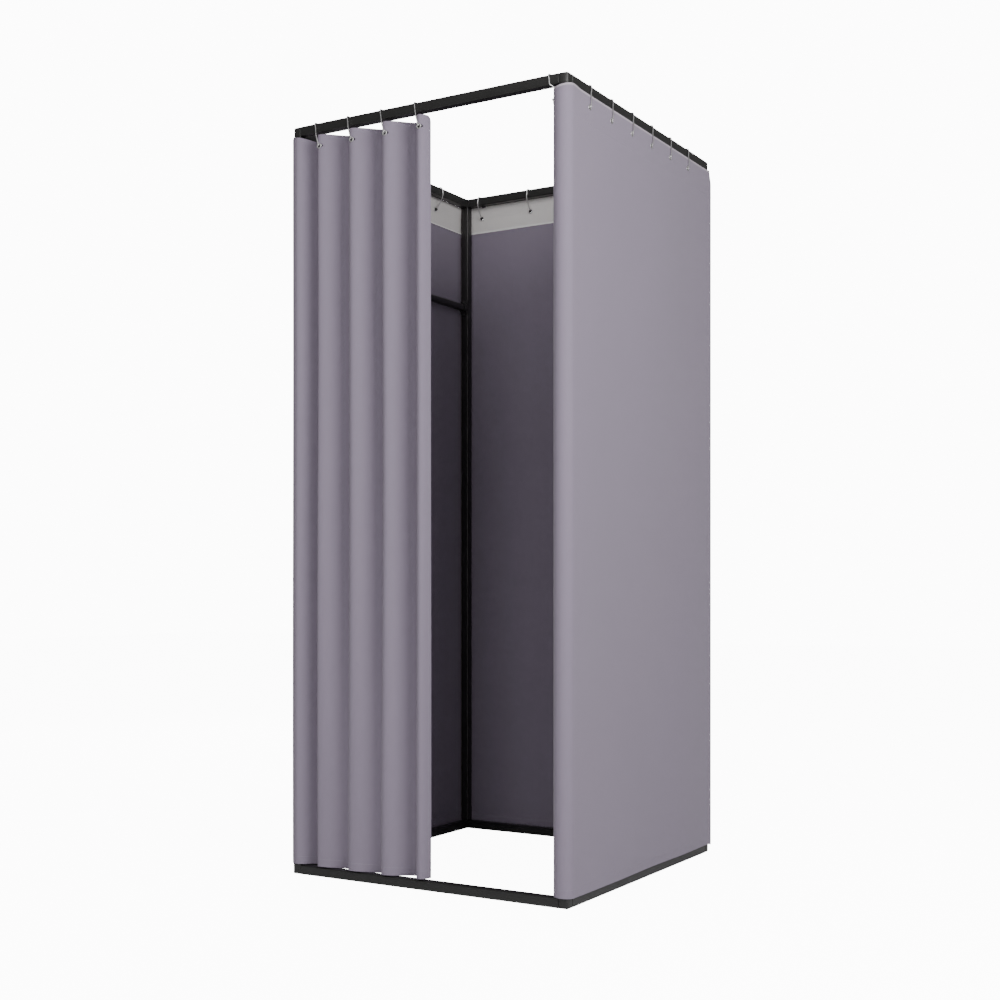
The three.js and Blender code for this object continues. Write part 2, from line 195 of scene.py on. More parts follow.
def smoothLine(points, perSpan):
    # centripetal Catmull-Rom: a cubic over each span, knots spaced by the root of the distance
    points = np.asarray(points, float)
    full = np.vstack([2 * points[0] - points[1], points, 2 * points[-1] - points[-2]])
    knots = np.sqrt(np.linalg.norm(np.diff(full, axis=0), axis=1))[:, None]
    before, here, there, beyond = full[:-3], full[1:-2], full[2:-1], full[3:]
    k0, k1, k2 = knots[:-2], knots[1:-1], knots[2:]
    leave = k1 * ((here - before) / k0 - (there - before) / (k0 + k1) + (there - here) / k1)
    arrive = k1 * ((there - here) / k1 - (beyond - here) / (k1 + k2) + (beyond - there) / k2)
    t = np.linspace(0, 1, perSpan, endpoint=False)[None, :, None]
    here, there, leave, arrive = (a[:, None, :] for a in (here, there, leave, arrive))
    line = here * (2 * t**3 - 3 * t**2 + 1) + leave * (t**3 - 2 * t**2 + t)
    line = line + there * (3 * t**2 - 2 * t**3) + arrive * (t**3 - t**2)
    return np.vstack([line.reshape(-1, 3), points[-1:]])


def sweepRound(line, radius, sides, across):
    # a round section carried along a line, which never runs along across
    along = unit(np.gradient(line, axis=0))
    first = unit(across - (along @ across)[:, None] * along)
    second = np.cross(along, first)
    angle = wholeTurn(sides)[:, :, None]
    offset = first[:, None, :] * np.cos(angle) + second[:, None, :] * np.sin(angle)
    return line[:, None, :] + radius * offset


def ballShell(centre, radius, sides=16, rows=10):
    # rings at latitude v, radius cos v wide and radius sin v high, with a pole at each end
    v = np.linspace(-pi / 2, pi / 2, rows + 1)[1:-1, None]
    u = wholeTurn(sides)
    grid = np.stack([np.cos(v) * np.cos(u), np.cos(v) * np.sin(u), np.sin(v) + 0 * u], -1)
    points, faces = cappedShell(grid)
    points[-2:] = [[0, 0, -1], [0, 0, 1]]
    return np.asarray(centre) + radius * points, faces


# materials
def nodeTree(name, **fixed):
    # a Principled material with its fixed sockets set
    material = bpy.data.materials.new(name)
    material.use_nodes = True
    shader = material.node_tree.nodes["Principled BSDF"]
    for socket, value in fixed.items():
        shader.inputs[socket.replace("_", " ")].default_value = value
    return material, material.node_tree, shader


def addNode(tree, kind, **values):
    # each value goes to the input of that name, or else to the setting
    node = tree.nodes.new("ShaderNode" + kind)
    for key, value in values.items():
        socket = key.replace("_", " ")
        if socket in node.inputs:
            node.inputs[socket].default_value = value
        else:
            setattr(node, key, value)
    return node


def joinNodes(tree, *joins):
    for source, output, target, entry in joins:
        tree.links.new(source.outputs[output], target.inputs[entry])


def noisyPaint(name, colour, lighter, roughness, grain, bump, **fixed):
    # paint or plastic: a fine grain, and slow changes of tone and gloss
    material, tree, shader = nodeTree(name, **fixed)
    place = addNode(tree, "TexCoord")
    fine = addNode(tree, "TexNoise", Scale=grain, Detail=3.0)
    slow = addNode(tree, "TexNoise", Scale=14.0, Detail=4.0)
    tone = addNode(tree, "MixRGB", Color1=(*colour, 1), Color2=(*lighter, 1))
    gloss = addNode(tree, "MapRange", To_Min=roughness[0], To_Max=roughness[1])
    relief = addNode(tree, "Bump", Strength=bump, Distance=0.0003)
    joinNodes(
        tree,
        (place, "Object", fine, "Vector"), (place, "Object", slow, "Vector"),
        (slow, "Fac", tone, "Fac"), (tone, "Color", shader, "Base Color"),
        (slow, "Fac", gloss, "Value"), (gloss, "Result", shader, "Roughness"),
        (fine, "Fac", relief, "Height"), (relief, "Normal", shader, "Normal"),
    )
    return material


def wovenCloth(name, colour, shade, highlightTone, edge, pitch=0.0009, relief=0.35):
    # plain weave: a wave across times a wave along, with long thin noise for uneven yarn, slow noise for the
    # tone, and a painted highlight along the turned edge, a lighter tone coming in between the two heights
    # of edge
    material, tree, shader = nodeTree(
        name, Roughness=0.82, Sheen_Weight=0.2, Sheen_Roughness=0.45, Specular_IOR_Level=0.25
    )
    place = addNode(tree, "UVMap", uv_map="clothUv")
    wavePeriod = 0.31416  # of a band texture at scale 1
    warp = addNode(tree, "TexWave", Scale=wavePeriod / pitch, bands_direction="X")
    weft = addNode(tree, "TexWave", Scale=wavePeriod / pitch, bands_direction="Y")
    weave = addNode(tree, "Math", operation="MULTIPLY")
    stretch = addNode(tree, "Mapping", Scale=(900.0, 9.0, 1.0))
    yarn = addNode(tree, "TexNoise", Scale=1.0, Detail=2.0)
    slow = addNode(tree, "TexNoise", Scale=5.0, Detail=3.0)
    yarnTone = addNode(tree, "MixRGB", Color1=(*colour, 1), Color2=(*shade, 1))
    slowTone = addNode(tree, "MixRGB", Color2=(*shade, 1))
    slowShare = addNode(tree, "MapRange", From_Min=0.35, To_Max=0.55)
    height = addNode(tree, "SeparateXYZ")
    # painted highlight: the edge's lighter tone stands in for light caught by the turned edge
    highlightShare = addNode(tree, "MapRange", From_Min=edge[0], From_Max=edge[1])
    highlightMix = addNode(tree, "MixRGB", Color2=(*highlightTone, 1))
    bumpWeave = addNode(tree, "Bump", Strength=relief, Distance=0.00025)
    bumpYarn = addNode(tree, "Bump", Strength=relief / 2, Distance=0.0003)
    joinNodes(
        tree,
        *((place, "UV", target, "Vector") for target in (warp, weft, stretch, slow, height)),
        (stretch, "Vector", yarn, "Vector"),
        (warp, "Fac", weave, 0), (weft, "Fac", weave, 1), (yarn, "Fac", yarnTone, "Fac"),
        (slow, "Fac", slowShare, "Value"), (slowShare, "Result", slowTone, "Fac"),
        (yarnTone, "Color", slowTone, "Color1"), (height, "Y", highlightShare, "Value"),
        (highlightShare, "Result", highlightMix, "Fac"), (slowTone, "Color", highlightMix, "Color1"),
        (highlightMix, "Color", shader, "Base Color"), (weave, "Value", bumpWeave, "Height"),
        (yarn, "Fac", bumpYarn, "Height"), (bumpWeave, "Normal", bumpYarn, "Normal"),
        (bumpYarn, "Normal", shader, "Normal"),
    )
    return material


heading = dict(
    height=0.0835, drop=0.0012, hem=0.006,
    edgeHighlight=(0.0044, 0.0036),  # above its lower edge, where the painted highlight of the turned lower edge comes in
    seam=0.0045,
    short=0.002,  # of the walls' ends
)
bandLow = wallTop - heading["height"]

powderCoat = noisyPaint(
    "powderCoat", (0.008, 0.0077, 0.0074), (0.013, 0.0126, 0.0122), (0.36, 0.46), 1400.0, 0.3,
    Specular_IOR_Level=0.65,
)
mouldedPlastic = noisyPaint(
    "mouldedPlastic", (0.009, 0.0087, 0.0084), (0.015, 0.0146, 0.0142), (0.4, 0.52), 900.0, 0.4,
    Specular_IOR_Level=0.65,
)
brightWire = noisyPaint(
    "brightWire", (0.70, 0.69, 0.69), (0.78, 0.77, 0.77), (0.34, 0.44), 500.0, 0.12, Metallic=1.0
)
darkScrew = noisyPaint(
    "darkScrew", (0.02, 0.02, 0.02), (0.035, 0.035, 0.035), (0.35, 0.5), 700.0, 0.3, Metallic=0.6
)
# the top hem's edge tone is a painted highlight: lighter lilac where the turned edge would catch the light
lilacCloth = wovenCloth(
    "lilacCloth", (0.270, 0.231, 0.299), (0.248, 0.212, 0.276), (0.42, 0.375, 0.43),
    [wallTop - drop for drop in cloth["edgeHighlight"]],
)
# the band's lower edge tone is a painted highlight: near white where its turned edge would catch the light
paleCloth = wovenCloth(
    "paleCloth", (0.73, 0.705, 0.695), (0.69, 0.665, 0.655), (0.95, 0.93, 0.92),
    [bandLow + rise for rise in heading["edgeHighlight"]],
)
sewingThread = noisyPaint("sewingThread", (0.33, 0.30, 0.36), (0.38, 0.345, 0.41), (0.6, 0.75), 2500.0, 0.4)
print("materials made")

# square tubes
steelTube = dict(wall=0.0015, edge=0.003, endBreak=0.0004)


def squareTube(node):
    # a rounded square section carried along the longest side of the node's box and back through the bore
    low, high = (np.array(corner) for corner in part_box(node))
    axis = int(np.argmax(high - low))
    middle = np.roll((low + high) / 2, -axis)[1:]
    chamfer = steelTube["endBreak"]
    outer, broken, bore = (
        roundBox(tubeSize, tubeSize, [steelTube["edge"]] * 4, inset=inset)
        for inset in (0, chamfer, steelTube["wall"])
    )
    start, end = low[axis], high[axis]
    rings = [(outer, start + chamfer), (outer, end - chamfer), (broken, end)]
    rings += [(bore, end), (bore, start), (broken, start)]
    grid = [np.roll(np.insert(section + middle, 0, place, 1), axis, 1) for section, place in rings]
    tube = loopShell(np.array(grid))
    makePiece("tube_" + node, [tube], powderCoat, "root", 30, nodes=[node])


for node in sorted(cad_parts):
    if node.startswith(("post_", "base_rail_", "top_rail_")):
        squareTube(node)
print("tubes made")

# corner fittings and their screws
block = dict(
    topEdge=0.008, baseEdge=0.004, innerEdge=0.0004, rim=0.004, peg=0.060, pegWall=0.0018,
    pegEdge=0.0015, nose=0.002,
)


def cornerFitting(level, place, sideX, sideY):
    # stacked outlines that draw in along a quarter circle at the free face, and pegs that fill the bores
    half, rim, edge = tubeSize / 2, block["rim"], steelTube["edge"]
    outerEdge = block[level + "Edge"]
    angle = np.linspace(0, pi / 2, 6)
    inset = np.concatenate([[0], rim * (1 - np.cos(angle))])
    height = np.concatenate([[-half], half - rim + rim * np.sin(angle)])
    rings = []
    for draw, z in zip(inset, height):
        radii = [outerEdge - draw, edge, block["innerEdge"], edge]
        outline = roundBox(tubeSize - draw, tubeSize - draw, radii)
        rings.append(np.insert(outline - draw / 2, 2, z, 1))
    shells = [cappedShell(np.array(rings))]
    bore = tubeSize - 2 * block["pegWall"]
    tip, nose = half + block["peg"], block["nose"]
    for axis in range(3):
        peg = []
        for draw, reach in ((0, half - edge), (0, tip - nose), (nose, tip)):
            outline = roundBox(bore, bore, [block["pegEdge"]] * 4, inset=draw)
            peg.append(np.roll(np.insert(outline, 0, -reach, 1), axis, 1))
        shells.append(cappedShell(np.array(peg)))
    free, middle = (1, frameTop - half) if level == "top" else (-1, half)
    centre = np.array([sideX * (halfWidth - half), sideY * (halfDepth - half), middle])
    node = f"{level}_corner_{place}"
    makePiece(
        "fitting_" + node, shells, mouldedPlastic, "root", 35,
        turn=[sideX, sideY, free], at=centre, nodes=[node],
    )


frameCorners = (("rear_right", 1, 1), ("rear_left", -1, 1), ("front_left", -1, -1), ("front_right", 1, -1))
for level in ("top", "base"):
    for place, sideX, sideY in frameCorners:
        cornerFitting(level, place, sideX, sideY)

railScrew = dict(
    fromFace=0.0767, radius=0.0074, height=0.0055, skirt=0.001, socket=0.0026,
    lip=0.00325,  # where the head's round stops
    deep=0.003,
    seat=0.0004,  # depth in the rail, and the break of the socket's edge
)


def screwShell(centre):
    # a button head under a rail: its side, a quarter ellipse and the six-sided socket, turned upright
    radius, height, lip, seat = (railScrew[key] for key in ("radius", "height", "lip", "seat"))
    skirt, socket = railScrew["skirt"], railScrew["socket"]
    angle = np.linspace(0, pi / 2, 7)
    side = np.stack([lip + (radius - lip) * np.cos(angle), skirt + (height - skirt) * np.sin(angle)], -1)
    well = [[socket, height - seat], [socket, height - railScrew["deep"]]]
    profile = np.vstack([[[radius, -seat]], side, well])
    turn = wholeTurn(36)
    flat = np.cos(pi / 6) / np.cos((turn % (pi / 3)) - pi / 6)
    reach = profile[:, :1] * np.where(np.arange(len(profile))[:, None] >= len(profile) - 2, flat, 1.0)
    grid = np.stack([reach * np.cos(turn), reach * np.sin(turn), -profile[:, 1:] + 0 * turn], -1)
    points, faces = cappedShell(grid)
    return points + centre, faces


screwX, screwY = halfWidth - railScrew["fromFace"], halfDepth - tubeSize / 2
screwShells = [screwShell([side * screwX, screwY, railUnder]) for side in (-1, 1)]
makePiece("fitting_screws", screwShells, darkScrew, "root", 35)
print("fittings made")

# clothes rail and its sockets
hanger = dict(
    radius=0.011, wall=0.0015, height=1.655, endBreak=0.0003, cup=0.014, cupWall=0.0025,
    cupBreak=0.0004, flange=0.003, flangeCorner=0.005,
    flangeRim=((0, 0.0006), (0.0002, 0.0002), (0.0007, 0)),  # (drawn in, short of the face)
    screwHead=(0.0032, 0.0018, 0.0032),
    screwInset=0.0052,  # from the flange's ends
)


def turned(profile, sides=48):
    # a closed profile of (radius, along) points turned round the Y axis
    profile = np.asarray(profile)
    angle = wholeTurn(sides)
    radius, along = profile[:, :1], profile[:, 1:]
    return np.stack([radius * np.cos(angle), along + 0 * angle, radius * np.sin(angle)], -1)


def roundedSteps(steps, radius, perBend=4):
    # a closed profile with every corner cut by a small arc, given its corner points
    steps = np.asarray(steps, float)
    before, after = (unit(np.roll(steps, way, 0) - steps) for way in (1, -1))
    t = np.linspace(0, 1, perBend)[None, :, None]
    arc = steps[:, None] + radius * (before[:, None] * (1 - t) ** 2 + after[:, None] * t**2)
    return arc.reshape(-1, 2)


radius, wall = hanger["radius"], hanger["wall"]
low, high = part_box("clothes_rail")
centre = np.array([low.x + radius, 0, hanger["height"]])
corners = [(radius, -high.y), (radius, high.y), (radius - wall, high.y), (radius - wall, -high.y)]
tube = loopShell(turned(roundedSteps(corners, hanger["endBreak"])))
makePiece("hanging_rail", [tube], powderCoat, "root", 30, at=centre, nodes=["clothes_rail"])
inner, outer = radius + gap, radius + gap + hanger["cupWall"]
thick, deep = hanger["flange"], hanger["cup"]
cup = [(inner, thick), (inner, deep), (outer, deep), (outer, thick / 2), (inner, thick / 2)]
cupShell = loopShell(turned(roundedSteps(cup, hanger["cupBreak"])))
for place, side in (("rear", 1), ("front", -1)):
    node = "clothes_rail_socket_" + place
    low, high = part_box(node)
    plate = high.z - low.z
    outline = roundBox(tubeSize, plate, [hanger["flangeCorner"]] * 4, perBend=8)
    rings = []
    for draw, short in ((0, thick), *hanger["flangeRim"]):
        section = outline * (1 - 2 * draw / tubeSize)
        rings.append(np.insert(section, 1, thick - short, 1))
    shells = [cupShell, cappedShell(np.array(rings))]
    for up in (1, -1):
        points, faces = ballShell((0, 0, 0), 1.0, 20, 12)
        screwPlace = [0, thick, up * (plate / 2 - hanger["screwInset"])]
        shells.append((points * hanger["screwHead"] + screwPlace, faces))
    makePiece(
        "rail_socket_" + place, shells, mouldedPlastic, "root", 35,
        turn=[1, -side, 1], at=[centre[0], high.y if side > 0 else low.y, centre[2]], nodes=[node],
    )
print("clothes rail made")


# cloth
def followPlan(parts, start, facing, s):
    # a plan line of (length, degrees turned): along the heading on a straight, and along the chord on an
    # arc, where the heading turns evenly
    x, y, angles = (np.zeros_like(s) for _ in range(3))
    at, angle, done = np.array(start, float), radians(facing), 0.0
    for length, degrees in parts:
        here = s >= done - 1e-9
        u = np.append(s[here] - done, length)
        bend = radians(degrees) / length
        turning = angle + bend * u
        if degrees:
            dx, dy = (np.sin(turning) - sin(angle)) / bend, (cos(angle) - np.cos(turning)) / bend
        else:
            dx, dy = u * cos(angle), u * sin(angle)
        x[here], y[here], angles[here] = at[0] + dx[:-1], at[1] + dy[:-1], turning[:-1]
        at += [dx[-1], dy[-1]]
        angle, done = turning[-1], done + length
    return x, y, np.sin(angles), -np.cos(angles)


def clothRows(low, high, plain, hemLines, holeZ):
    # even rows, close pairs at the hem lines, and a circle's worth across the eyelets
    even = np.linspace(low, high, plain)
    rows = [even[abs(even - holeZ) > eyelet["clear"] * eyelet["clothHole"]]]
    rows += [line + np.array([-cloth["hemStep"], cloth["hemStep"]]) for line in hemLines]
    rows.append(holeZ + eyelet["clothHole"] * np.sin(np.linspace(-pi / 2, pi / 2, 13)))
    return np.unique(np.round(np.concatenate(rows), 6))


def clothColumns(plan, stops, rows, holeZ):
    # strips of columns between stops (place, whether an eyelet is there, columns to the next, grading),
    # each drawn in beside a hole by the circle's half chord, and merged where two strips meet
    chord = np.sqrt(np.maximum(eyelet["clothHole"] ** 2 - (rows - holeZ) ** 2, 0))
    points, normals, uvs, faces, start, near = [], [], [], [], 0, 1e-5
    for (a, holeA, count, grade), (b, holeB, _, _) in zip(stops[:-1], stops[1:]):
        share = np.linspace(0, 1, count + 1)
        if grade == "cosine":
            share = (1 - np.cos(pi * share)) / 2
        ends = np.array([a, b])
        length = plan(ends[None, :] + np.array([[-near], [near]]), np.full((2, 2), holeZ))[5]
        speed = (length[1] - length[0]) / (2 * near)
        left = a + (chord / speed[0] if holeA else 0 * chord)
        right = b - (chord / speed[1] if holeB else 0 * chord)
        p = left[:, None] + (right - left)[:, None] * share
        x, y, z, nx, ny, s = plan(p, rows[:, None] + 0 * p)
        points.append(np.stack([x, y, z], -1).reshape(-1, 3))
        normals.append(np.stack([nx, ny, 0 * nx], -1).reshape(-1, 3))
        uvs.append(np.stack([s, rows[:, None] + 0 * p], -1).reshape(-1, 2))
        faces.append(gridFaces(len(rows), count + 1) + start)
        start += p.size
    points, normals, uvs, faces = (np.concatenate(a) for a in (points, normals, uvs, faces))
    _, first, same = np.unique(np.round(points, 6), axis=0, return_index=True, return_inverse=True)
    return points[first], normals[first], uvs[first], same.ravel()[faces]


def thickened(points, normals, uvs, faces, outer, inner):
    # both faces of a sheet, and a strip along every edge that no face follows the other way
    count = len(points)
    edges = np.concatenate([faces[:, [k, (k + 1) % 4]] for k in range(4)])
    rim = edges[~np.isin(edges @ [count, 1], edges @ [1, count])]
    strip = np.column_stack([rim[:, 1], rim[:, 0], rim[:, 0] + count, rim[:, 1] + count])
    both = np.vstack([points + normals * outer[:, None], points - normals * inner[:, None]])
    return (both, faces.tolist() + (faces[:, ::-1] + count).tolist() + strip.tolist()), np.vstack([uvs, uvs])


def clothPiece(name, plan, stops, rows, holeZ, material, body, hemLines, behind=0.0, nodes=()):
    # hemLines is (bottom, top), and the cloth past them is turned over on the inside
    points, normals, uvs, faces = clothColumns(plan, stops, rows, holeZ)
    height, step = uvs[:, 1], cloth["hemStep"]
    folded = ease(height, hemLines[1] - step, hemLines[1] + step)
    folded = folded - ease(height, hemLines[0] - step, hemLines[0] + step) + 1
    outer, inner = halfCloth - behind + 0 * folded, halfCloth + behind + cloth["foldedEdge"] * folded
    shell, uv = thickened(points, normals, uvs, faces, outer, inner)
    return makePiece(name, [shell], material, body, 50, uv, nodes=nodes)


stitch = dict(
    length=0.0026, pitch=0.0036, radius=0.00028,
    fromTopHem=0.0015,  # the rows, above the top hem's line and below the bottom hem's
    fromBottomHem=0.002, fromEnd=0.002, fromEdge=0.004, fromLap=0.003,
    sideSeam=0.009,  # from the corner's free edge
    leadSeam=0.8,  # share of the lead edge's curl
    leadShort=(0.02, 0.012),  # radians short of its edge, and short of its rounded top
)


def stitchTemplate():
    # one stitch along X: square rings that swell from small ends, bowed out along Z
    rings = [(-0.5, 0.35, -0.6), (-0.32, 0.9, 0.3), (0, 1, 0.7), (0.32, 0.9, 0.3), (0.5, 0.35, -0.6)]
    along, swell, bow = np.array(rings).T[:, :, None]
    angle = wholeTurn(5)
    x = along * stitch["length"] + 0 * angle
    y = stitch["radius"] * swell * np.cos(angle)
    z = stitch["radius"] * (swell * np.sin(angle) + bow)
    return cappedShell(np.stack([x, y, z], -1))


def stitchPair(places, along, normals):
    # one stitch at every place, turned to its directions, on both faces of the cloth
    points, faces = stitchTemplate()
    shells = []
    for out, lift in ((1, halfCloth), (-1, halfCloth + cloth["foldedEdge"])):
        axes = np.stack([along, np.cross(out * normals, along), out * normals], 1)
        copies = points @ axes + (places + out * lift * normals)[:, None]
        corners = [[corner + start for corner in face]
                   for start in range(0, len(places) * len(points), len(points)) for face in faces]
        shells.append((copies.reshape(-1, 3), corners))
    return shells


def placesOn(plan, p, z):
    # points of the cloth, with the directions along it and out of it
    x, y, z, nx, ny, _ = plan(p, z)
    return [np.stack(row, -1) for row in ([x, y, z], [-ny, nx, 0 * nx], [nx, ny, 0 * nx])]


def sewAlong(plan, low, high, heights):
    # rows of stitches at a steady pitch along the cloth
    shells = []
    probe = np.linspace(low, high, 4000)
    for height in heights:
        s = plan(probe, np.full_like(probe, height))[5]
        p = np.interp(np.arange(s[0] + stitch["pitch"] / 2, s[-1], stitch["pitch"]), s, probe)
        shells += stitchPair(*placesOn(plan, p, np.full_like(p, height)))
    return shells


def sewUp(plan, place, low, high):
    # a column of stitches
    z = np.arange(low, high, stitch["pitch"])
    places, _, normals = placesOn(plan, np.full_like(z, place), z)
    return stitchPair(places, np.tile([0.0, 0.0, 1.0], (len(z), 1)), normals)


def stitchRows(hemLines):
    return [hemLines[1] + stitch["fromTopHem"], hemLines[0] - stitch["fromBottomHem"]]


def sewnLines(name, shells, body):
    return makePiece(name, shells, sewingThread, body, 80)


# eyelets and rings
def eyeletShell(centre, normal, outer, inner):
    # a pressed eyelet, turned round the cloth's normal: the outer rim, the barrel and the inner rim
    hole, barrel, rim, proud = eyelet["hole"], eyelet["barrel"], eyelet["rim"], eyelet["proud"]
    bulge = np.linspace(0, pi, 9)
    middle, reach = (hole + rim) / 2, (rim - hole) / 2
    curve = np.stack([reach * np.cos(bulge), proud * np.sin(bulge) ** 0.7], -1)
    crown, lower = [middle, outer] + curve * [-1, 1], [middle, -inner] + curve * [1, -1]
    crown[0, 1], lower[-1, 1] = outer - eyelet["tuck"], -inner + eyelet["tuck"]
    profile = np.vstack([crown, [[barrel, outer], [barrel, -inner]], lower])
    points, faces = loopShell(turned(profile, 28))
    nx, ny = normal
    return points @ np.array([[-ny, nx, 0], [nx, ny, 0], [0, 0, 1.0]]) + centre, faces


ring = dict(
    wire=0.0015,
    clasp=0.00475,  # the ball that closes it inside the cloth
    claspSeat=(0.0022, 0.0006),  # the inner rim's depth behind the cloth, and the gap to the ball
    hang=0.0016,
    outside=0.0030,  # the cloth's middle to the wire's, just above the eyelet
    rise=0.0052,  # and that place's height above the wire in the hole
    swell=0.0004,  # outwards, halfway up to the cloth's top edge
    bow=0.0004,
    bend=0.0003,  # slack at the rail's upper edges
    climb=(0.0040, 0.0125),  # on the way up the rail: out from its face, and below its top
    fall=(0.0016, 0.016),  # the same on the way down, past its clearance
    inside=((0.95, 0.006), (0.55, 0.002)),  # shares of the tube, and how far below
)
claspDepth = ring["claspSeat"][0] + sqrt(
    (ring["clasp"] + ring["claspSeat"][1]) ** 2 - eyelet["hole"] ** 2
)

# the return's ring: (x, y) from the middle of the curl, with the height above the eyelet, the top edge or
# the rail's underside, and (out, up) from the rail's face
returnRing = dict(
    eyeletTurn=146, railX=0.366,
    overEdge=(
        (-0.0150, -0.0085, "eyelet", 0.012),
        (-0.0170, -0.0100, "edge", -0.005),
        (-0.0205, -0.0135, "edge", 0.0025),
        (-0.0240, -0.0185, "edge", 0.0062),
    ),
    meetsRail=(0.0040, 0.0005), climb=(0.0024, 0.0125), fall=(0.0016, 0.014),
    roundEdge=(
        (-0.0320, 0.0120, "rail", -0.001),
        (-0.0300, 0.0060, "edge", -0.006),
        (-0.0290, -0.0010, "eyelet", 0.010),
    ),
    intoEyelet=(0.0030, 0.0034),  # out from the cloth and up
)


def ringLine(hook, edge, rail, slip, inward=0.0, curled=False):
    # the wire goes from its clasp out of the eyelet, past the top edge, snugly over the rail and down to the
    # clasp. hook is (x, y, z, nx, ny), rail the rail's outward normal, slip the way along the rail, taken up
    # in step with height, and inward the pull on the top edge. The curled return's wire goes in over its top
    # edge and comes back round its free edge.
    hole, normal, z = np.array(hook[:2]), np.array(hook[3:]), hook[2]
    across, along = np.array(rail), np.array([-rail[1], rail[0]])
    face = halfWidth if rail[0] else halfDepth
    wireHeight = z + ring["hang"]
    seat = frameTop + gap + ring["wire"]

    def slipped(height):
        return slip * max(0.0, height - wireHeight) / (seat - wireHeight) * along

    def at(out, height):  # out from the rail's outer face
        return [*((face + out) * across + hole @ along * along - slipped(height)), height]

    def near(out, height):  # out from the middle of the cloth
        return [*(hole + out * normal - slipped(height)), height]

    def roundCurl(outX, outY, level, up):
        height = {"eyelet": z, "edge": edge, "rail": railUnder}[level] + up
        return [returnCentre[0] + outX, returnCentre[1] + outY, height]

    touch = ring["wire"] + gap
    beside = halfCloth + touch
    bend = steelTube["edge"]
    round45 = (bend + touch) * sqrt(0.5) - bend
    if curled:
        meets, climb, fall = returnRing["meetsRail"], returnRing["climb"], returnRing["fall"]
        out, up = returnRing["intoEyelet"]
        closed = [*(hole - claspDepth * normal), z]
        front = [closed] + [roundCurl(*place) for place in returnRing["overEdge"]]
        front.append(at(meets[0], railUnder + meets[1]))
        back = [roundCurl(*place) for place in returnRing["roundEdge"]]
        back += [[*(hole + out * normal), z + up], hook[:3], closed]
    else:
        climb, fall = ring["climb"], ring["fall"]
        low, high = ring["inside"]
        front = [
            near(-claspDepth, z),
            near(0, wireHeight),
            near(claspDepth / 2, wireHeight + gap),
            near(ring["outside"], wireHeight + ring["rise"]),
            near((ring["outside"] + beside - inward / 2) / 2 + ring["swell"], (edge + wireHeight) / 2),
            near(beside - inward, edge),
        ]
        back = [
            at(-tubeSize * low[0], railUnder - low[1]),
            at(-tubeSize * high[0], (railUnder + wireHeight) / 2 - high[1]),
            near(-claspDepth - ring["clasp"] / 2, z + ring["clasp"] / 2),
        ]
    over = [
        at(climb[0], frameTop - climb[1]),
        at(touch + ring["bend"], frameTop - bend),
        at(round45, frameTop + round45),
        at(-bend, seat),
        at(-tubeSize / 2, seat + ring["bow"]),
        at(-tubeSize + bend, seat),
        at(-tubeSize - round45, frameTop + round45),
        at(-tubeSize - touch - ring["bend"], frameTop - bend),
        at(-tubeSize - touch - fall[0], frameTop - fall[1]),
    ]
    return smoothLine(front + over + back, 6)


def addRing(node, body, *path):
    line = ringLine(*path)
    rail = path[2]
    wire = sweepRound(line, ring["wire"], 12, np.array([-rail[1], rail[0], 0.0]))
    makePiece("wire_" + node, [cappedShell(wire)], brightWire, body, 60, nodes=[node])
    return ballShell(line[0], ring["clasp"], 20, 14)


# the walls: one cloth over the return, the right side, the rear and the left side
sideRings = dict(count=6, pitch=0.1193, margin=0.101, rightLean=-0.020, leftLean=-0.010)
rearRings = dict(count=5, pitch=0.17825, lean=0.005)

returnArc = radians(cloth["returnTurn"]) * returnBend
rearArc = pi / 2 * rearBend
rightRun = (clothY - rearBend) - (returnBend - clothY)
rearRun = 2 * (clothX - rearBend)
leftEnd = leftBend - clothY
leftRun = (clothY - rearBend) - leftEnd
wallParts = [(returnArc, cloth["returnTurn"]), (rightRun, 0), (rearArc, 90), (rearRun, 0), (rearArc, 90)]
wallParts.append((leftRun, 0))
wallLength = sum(length for length, _ in wallParts)
rightStart = returnArc
rearStart = returnArc + rightRun + rearArc
leftStart = rearStart + rearRun + rearArc
returnCentre = (clothX - returnBend, returnBend - clothY)
startTurn = radians(-cloth["returnTurn"])
wallFrom = returnCentre + returnBend * np.array([cos(startTurn), sin(startTurn)])

hang = dict(
    billow=0.0016, waves=((1.0, 9.1, 1.1, 0.4), (0.6, 17.3, -2.3, 1.9), (0.4, 5.0, 3.1, 0.0)),
    fades=(0.12, 0.1, 0.1, 0.12),  # runs out to the bends and to the free edge
    calm=(0.25, 0.03),  # below the top edge, where they die out
    steps=(0.012, 0.075),  # where the return's edges come to the walls' heights
    eyeletStep=(0.18, 0.05),  # below the top edge, for the step of the eyelets
    edgeStep=0.030,  # the height that takes up the rest, and the one at the hem
    hemStep=0.23,
    topLean=0.0045,  # the rings pull the top edge in, over this height and run
    leanOver=(0.045, 0.05), lapIn=0.0017, lapSteps=(0.05, 0.02), rightDrop=0.0037, rightRise=0.0052,
    rightFade=0.04, dropOver=0.028, riseOver=0.2, leftDip=0.0004, dipSteps=(-0.01, 0.03, 0.13, 0.2),
    bendColumn=0.0022, flatColumn=0.012, rows=64,
)


def waves(rows, a, b):
    # the sum over rows of (size, rate, other rate, start) of size sin(rate a + other rate b + start)
    return sum(size * np.sin(rateA * a + rateB * b + start) for size, rateA, rateB, start in rows)


def wallBillow(s, z):
    # slow waves along and down the flat walls, none at the top edge or at the bends
    ends, fades, run = (rightStart, rearStart, leftStart, wallLength), hang["fades"], 0
    for k in range(3):
        run = run + ease(s, ends[k], ends[k] + fades[k])
        run = run - ease(s, ends[k + 1] - fades[k + 1], ends[k + 1])
    low = 1 - ease(z, *(wallTop - below for below in hang["calm"]))
    return hang["billow"] * waves(hang["waves"], s, z) * run * low


